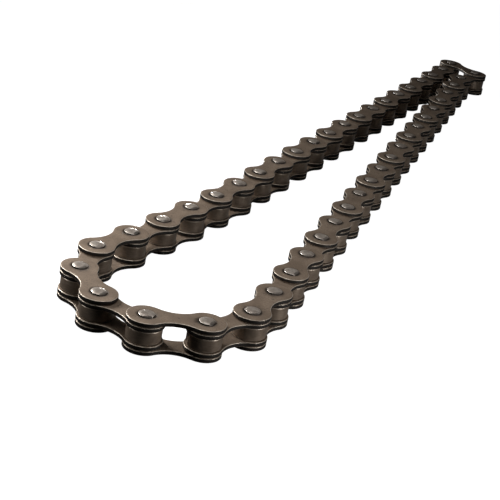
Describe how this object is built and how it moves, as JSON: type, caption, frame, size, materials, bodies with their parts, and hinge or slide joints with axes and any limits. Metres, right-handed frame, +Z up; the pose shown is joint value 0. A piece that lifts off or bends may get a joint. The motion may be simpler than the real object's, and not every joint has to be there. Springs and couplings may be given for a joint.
{
  "type": "roller chain",
  "caption": "Endless bush roller chain of half-inch pitch, lying on its side as a long closed loop; its links hinge on riveted pins and its rollers turn on bushings.",
  "frame": {"origin": "on the floor, under the middle of the whole loop as it lies on its side", "axes": "+Z up, along every pin; +Y along the loop, from the round near bend to the far fold; +X from the first strand to the second"},
  "size_m": [0.05, 0.2848, 0.0085],
  "materials": {
    "plate_steel": "oil-blackened brown steel, satin, with bright worn edges",
    "pin_steel": "bright riveted steel ends",
    "bushing_steel": "dark satin steel",
    "roller_steel": "dark brown oiled steel, satin"
  },
  "bodies": {
    "outer_link_01": {"outer_link_01": "plate_steel"},
    "inner_link_01": {"inner_link_01": "plate_steel"},
    "outer_link_02": {"outer_link_02": "plate_steel"},
    "inner_link_02": {"inner_link_02": "plate_steel"},
    "outer_link_03": {"outer_link_03": "plate_steel"},
    "inner_link_03": {"inner_link_03": "plate_steel"},
    "outer_link_04": {"outer_link_04": "plate_steel"},
    "inner_link_04": {"inner_link_04": "plate_steel"},
    "outer_link_05": {"outer_link_05": "plate_steel"},
    "inner_link_05": {"inner_link_05": "plate_steel"},
    "outer_link_06": {"outer_link_06": "plate_steel"},
    "inner_link_06": {"inner_link_06": "plate_steel"},
    "outer_link_07": {"outer_link_07": "plate_steel"},
    "inner_link_07": {"inner_link_07": "plate_steel"},
    "outer_link_08": {"outer_link_08": "plate_steel"},
    "inner_link_08": {"inner_link_08": "plate_steel"},
    "outer_link_09": {"outer_link_09": "plate_steel"},
    "inner_link_09": {"inner_link_09": "plate_steel"},
    "outer_link_10": {"outer_link_10": "plate_steel"},
    "inner_link_10": {"inner_link_10": "plate_steel"},
    "outer_link_11": {"outer_link_11": "plate_steel"},
    "inner_link_11": {"inner_plate_11_lower": "plate_steel", "inner_plate_11_upper": "plate_steel", "bushing_22": "bushing_steel", "bushing_23": "bushing_steel"},
    "outer_link_12": {"outer_plate_12_lower": "plate_steel", "outer_plate_12_upper": "plate_steel", "pin_23": "pin_steel", "pin_24": "pin_steel"},
    "inner_link_12": {"inner_plate_12_lower": "plate_steel", "inner_plate_12_upper": "plate_steel", "bushing_24": "bushing_steel", "bushing_25": "bushing_steel"},
    "outer_link_13": {"outer_link_13": "plate_steel"},
    "inner_link_13": {"inner_link_13": "plate_steel"},
    "outer_link_14": {"outer_link_14": "plate_steel"},
    "inner_link_14": {"inner_link_14": "plate_steel"},
    "outer_link_15": {"outer_link_15": "plate_steel"},
    "inner_link_15": {"inner_link_15": "plate_steel"},
    "outer_link_16": {"outer_link_16": "plate_steel"},
    "inner_link_16": {"inner_link_16": "plate_steel"},
    "outer_link_17": {"outer_link_17": "plate_steel"},
    "inner_link_17": {"inner_link_17": "plate_steel"},
    "outer_link_18": {"outer_link_18": "plate_steel"},
    "inner_link_18": {"inner_link_18": "plate_steel"},
    "outer_link_19": {"outer_link_19": "plate_steel"},
    "inner_link_19": {"inner_link_19": "plate_steel"},
    "outer_link_20": {"outer_link_20": "plate_steel"},
    "inner_link_20": {"inner_link_20": "plate_steel"},
    "outer_link_21": {"outer_link_21": "plate_steel"},
    "inner_link_21": {"inner_link_21": "plate_steel"},
    "outer_link_22": {"outer_link_22": "plate_steel"},
    "inner_link_22": {"inner_link_22": "plate_steel"},
    "outer_link_23": {"outer_link_23": "plate_steel"},
    "inner_link_23": {"inner_link_23": "plate_steel"},
    "roller_22": {"roller_22": "roller_steel"},
    "roller_23": {"roller_23": "roller_steel"},
    "roller_24": {"roller_24": "roller_steel"},
    "roller_25": {"roller_25": "roller_steel"}
  },
  "joints": [
    {"name": "pivot_01", "type": "hinge", "parent": "outer_link_01", "child": "inner_link_23", "pos_m": [-0.00075, 0.12544, 0.00427], "axis": [0, 0, 1], "range_deg": [0, 30]},
    {"name": "pivot_02", "type": "hinge", "parent": "inner_link_01", "child": "outer_link_01", "pos_m": [-0.00152, 0.11277, 0.00427], "axis": [0, 0, -1], "range_deg": [-30, 0]},
    {"name": "pivot_03", "type": "hinge", "parent": "outer_link_02", "child": "inner_link_01", "pos_m": [-0.0023, 0.10009, 0.00427], "axis": [0, 0, 1], "range_deg": [0, 30]},
    {"name": "pivot_04", "type": "hinge", "parent": "inner_link_02", "child": "outer_link_02", "pos_m": [-0.00307, 0.08742, 0.00427], "axis": [0, 0, -1], "range_deg": [-30, 0]},
    {"name": "pivot_05", "type": "hinge", "parent": "outer_link_03", "child": "inner_link_02", "pos_m": [-0.00385, 0.07474, 0.00427], "axis": [0, 0, 1], "range_deg": [0, 30]},
    {"name": "pivot_06", "type": "hinge", "parent": "inner_link_03", "child": "outer_link_03", "pos_m": [-0.00462, 0.06206, 0.00427], "axis": [0, 0, -1], "range_deg": [-30, 0]},
    {"name": "pivot_07", "type": "hinge", "parent": "outer_link_04", "child": "inner_link_03", "pos_m": [-0.0054, 0.04939, 0.00427], "axis": [0, 0, 1], "range_deg": [0, 30]},
    {"name": "pivot_08", "type": "hinge", "parent": "inner_link_04", "child": "outer_link_04", "pos_m": [-0.00617, 0.03671, 0.00427], "axis": [0, 0, -1], "range_deg": [-30, 0]},
    {"name": "pivot_09", "type": "hinge", "parent": "outer_link_05", "child": "inner_link_04", "pos_m": [-0.00695, 0.02403, 0.00427], "axis": [0, 0, 1], "range_deg": [0, 30]},
    {"name": "pivot_10", "type": "hinge", "parent": "inner_link_05", "child": "outer_link_05", "pos_m": [-0.00773, 0.01136, 0.00427], "axis": [0, 0, -1], "range_deg": [-30, 0]},
    {"name": "pivot_11", "type": "hinge", "parent": "outer_link_06", "child": "inner_link_05", "pos_m": [-0.0085, -0.00132, 0.00427], "axis": [0, 0, 1], "range_deg": [0, 30]},
    {"name": "pivot_12", "type": "hinge", "parent": "inner_link_06", "child": "outer_link_06", "pos_m": [-0.00928, -0.014, 0.00427], "axis": [0, 0, -1], "range_deg": [-30, 0]},
    {"name": "pivot_13", "type": "hinge", "parent": "outer_link_07", "child": "inner_link_06", "pos_m": [-0.01005, -0.02667, 0.00427], "axis": [0, 0, 1], "range_deg": [0, 30]},
    {"name": "pivot_14", "type": "hinge", "parent": "inner_link_07", "child": "outer_link_07", "pos_m": [-0.01083, -0.03935, 0.00427], "axis": [0, 0, -1], "range_deg": [-30, 0]},
    {"name": "pivot_15", "type": "hinge", "parent": "outer_link_08", "child": "inner_link_07", "pos_m": [-0.0116, -0.05202, 0.00427], "axis": [0, 0, 1], "range_deg": [0, 30]},
    {"name": "pivot_16", "type": "hinge", "parent": "inner_link_08", "child": "outer_link_08", "pos_m": [-0.01273, -0.06467, 0.00427], "axis": [0, 0, -1], "range_deg": [-30, 0]},
    {"name": "pivot_17", "type": "hinge", "parent": "outer_link_09", "child": "inner_link_08", "pos_m": [-0.01421, -0.07729, 0.00427], "axis": [0, 0, 1], "range_deg": [0, 30]},
    {"name": "pivot_18", "type": "hinge", "parent": "inner_link_09", "child": "outer_link_09", "pos_m": [-0.01605, -0.08985, 0.00427], "axis": [0, 0, -1], "range_deg": [-30, 0]},
    {"name": "pivot_19", "type": "hinge", "parent": "outer_link_10", "child": "inner_link_09", "pos_m": [-0.01823, -0.10236, 0.00427], "axis": [0, 0, 1], "range_deg": [0, 30]},
    {"name": "pivot_20", "type": "hinge", "parent": "inner_link_10", "child": "outer_link_10", "pos_m": [-0.02076, -0.11481, 0.00427], "axis": [0, 0, -1], "range_deg": [-30, 0]},
    {"name": "pivot_21", "type": "hinge", "parent": "outer_link_11", "child": "inner_link_10", "pos_m": [-0.01823, -0.12726, 0.00427], "axis": [0, 0, 1], "range_deg": [0, 30]},
    {"name": "pivot_22", "type": "hinge", "parent": "inner_link_11", "child": "outer_link_11", "pos_m": [-0.00887, -0.13584, 0.00427], "axis": [0, 0, -1], "range_deg": [-30, 0]},
    {"name": "pivot_23", "type": "hinge", "parent": "outer_link_12", "child": "inner_link_11", "pos_m": [0.00362, -0.13815, 0.00427], "axis": [0, 0, 1], "range_deg": [0, 30]},
    {"name": "pivot_24", "type": "hinge", "parent": "outer_link_12", "child": "inner_link_12", "pos_m": [0.01499, -0.13248, 0.00427], "axis": [0, 0, 1], "range_deg": [-30, 0]},
    {"name": "pivot_25", "type": "hinge", "parent": "inner_link_12", "child": "outer_link_13", "pos_m": [0.02065, -0.12112, 0.00427], "axis": [0, 0, -1], "range_deg": [0, 30]},
    {"name": "pivot_26", "type": "hinge", "parent": "outer_link_13", "child": "inner_link_13", "pos_m": [0.02076, -0.10842, 0.00427], "axis": [0, 0, 1], "range_deg": [-30, 0]},
    {"name": "pivot_27", "type": "hinge", "parent": "inner_link_13", "child": "outer_link_14", "pos_m": [0.02003, -0.09574, 0.00427], "axis": [0, 0, -1], "range_deg": [0, 30]},
    {"name": "pivot_28", "type": "hinge", "parent": "outer_link_14", "child": "inner_link_14", "pos_m": [0.0193, -0.08306, 0.00427], "axis": [0, 0, 1], "range_deg": [-30, 0]},
    {"name": "pivot_29", "type": "hinge", "parent": "inner_link_14", "child": "outer_link_15", "pos_m": [0.01857, -0.07038, 0.00427], "axis": [0, 0, -1], "range_deg": [0, 30]},
    {"name": "pivot_30", "type": "hinge", "parent": "outer_link_15", "child": "inner_link_15", "pos_m": [0.01784, -0.0577, 0.00427], "axis": [0, 0, 1], "range_deg": [-30, 0]},
    {"name": "pivot_31", "type": "hinge", "parent": "inner_link_15", "child": "outer_link_16", "pos_m": [0.01711, -0.04502, 0.00427], "axis": [0, 0, -1], "range_deg": [0, 30]},
    {"name": "pivot_32", "type": "hinge", "parent": "outer_link_16", "child": "inner_link_16", "pos_m": [0.01638, -0.03234, 0.00427], "axis": [0, 0, 1], "range_deg": [-30, 0]},
    {"name": "pivot_33", "type": "hinge", "parent": "inner_link_16", "child": "outer_link_17", "pos_m": [0.01565, -0.01966, 0.00427], "axis": [0, 0, -1], "range_deg": [0, 30]},
    {"name": "pivot_34", "type": "hinge", "parent": "outer_link_17", "child": "inner_link_17", "pos_m": [0.01492, -0.00699, 0.00427], "axis": [0, 0, 1], "range_deg": [-30, 0]},
    {"name": "pivot_35", "type": "hinge", "parent": "inner_link_17", "child": "outer_link_18", "pos_m": [0.01418, 0.00569, 0.00427], "axis": [0, 0, -1], "range_deg": [0, 30]},
    {"name": "pivot_36", "type": "hinge", "parent": "outer_link_18", "child": "inner_link_18", "pos_m": [0.01345, 0.01837, 0.00427], "axis": [0, 0, 1], "range_deg": [-30, 0]},
    {"name": "pivot_37", "type": "hinge", "parent": "inner_link_18", "child": "outer_link_19", "pos_m": [0.01272, 0.03105, 0.00427], "axis": [0, 0, -1], "range_deg": [0, 30]},
    {"name": "pivot_38", "type": "hinge", "parent": "outer_link_19", "child": "inner_link_19", "pos_m": [0.01199, 0.04373, 0.00427], "axis": [0, 0, 1], "range_deg": [-30, 0]},
    {"name": "pivot_39", "type": "hinge", "parent": "inner_link_19", "child": "outer_link_20", "pos_m": [0.01126, 0.05641, 0.00427], "axis": [0, 0, -1], "range_deg": [0, 30]},
    {"name": "pivot_40", "type": "hinge", "parent": "outer_link_20", "child": "inner_link_20", "pos_m": [0.01053, 0.06909, 0.00427], "axis": [0, 0, 1], "range_deg": [-30, 0]},
    {"name": "pivot_41", "type": "hinge", "parent": "inner_link_20", "child": "outer_link_21", "pos_m": [0.0098, 0.08177, 0.00427], "axis": [0, 0, -1], "range_deg": [0, 30]},
    {"name": "pivot_42", "type": "hinge", "parent": "outer_link_21", "child": "inner_link_21", "pos_m": [0.00907, 0.09445, 0.00427], "axis": [0, 0, 1], "range_deg": [-30, 0]},
    {"name": "pivot_43", "type": "hinge", "parent": "inner_link_21", "child": "outer_link_22", "pos_m": [0.00834, 0.10712, 0.00427], "axis": [0, 0, -1], "range_deg": [0, 30]},
    {"name": "pivot_44", "type": "hinge", "parent": "outer_link_22", "child": "inner_link_22", "pos_m": [0.00761, 0.1198, 0.00427], "axis": [0, 0, 1], "range_deg": [-30, 0]},
    {"name": "pivot_45", "type": "hinge", "parent": "inner_link_22", "child": "outer_link_23", "pos_m": [0.01044, 0.13218, 0.00427], "axis": [0, 0, -1], "range_deg": [0, 30]},
    {"name": "roller_22_spin", "type": "hinge", "parent": "inner_link_11", "child": "roller_22", "pos_m": [-0.00887, -0.13584, 0.00427], "axis": [0, 0, 1], "continuous": true},
    {"name": "roller_23_spin", "type": "hinge", "parent": "inner_link_11", "child": "roller_23", "pos_m": [0.00362, -0.13815, 0.00427], "axis": [0, 0, 1], "continuous": true},
    {"name": "roller_24_spin", "type": "hinge", "parent": "inner_link_12", "child": "roller_24", "pos_m": [0.01499, -0.13248, 0.00427], "axis": [0, 0, 1], "continuous": true},
    {"name": "roller_25_spin", "type": "hinge", "parent": "inner_link_12", "child": "roller_25", "pos_m": [0.02065, -0.12112, 0.00427], "axis": [0, 0, 1], "continuous": true}
  ]
}
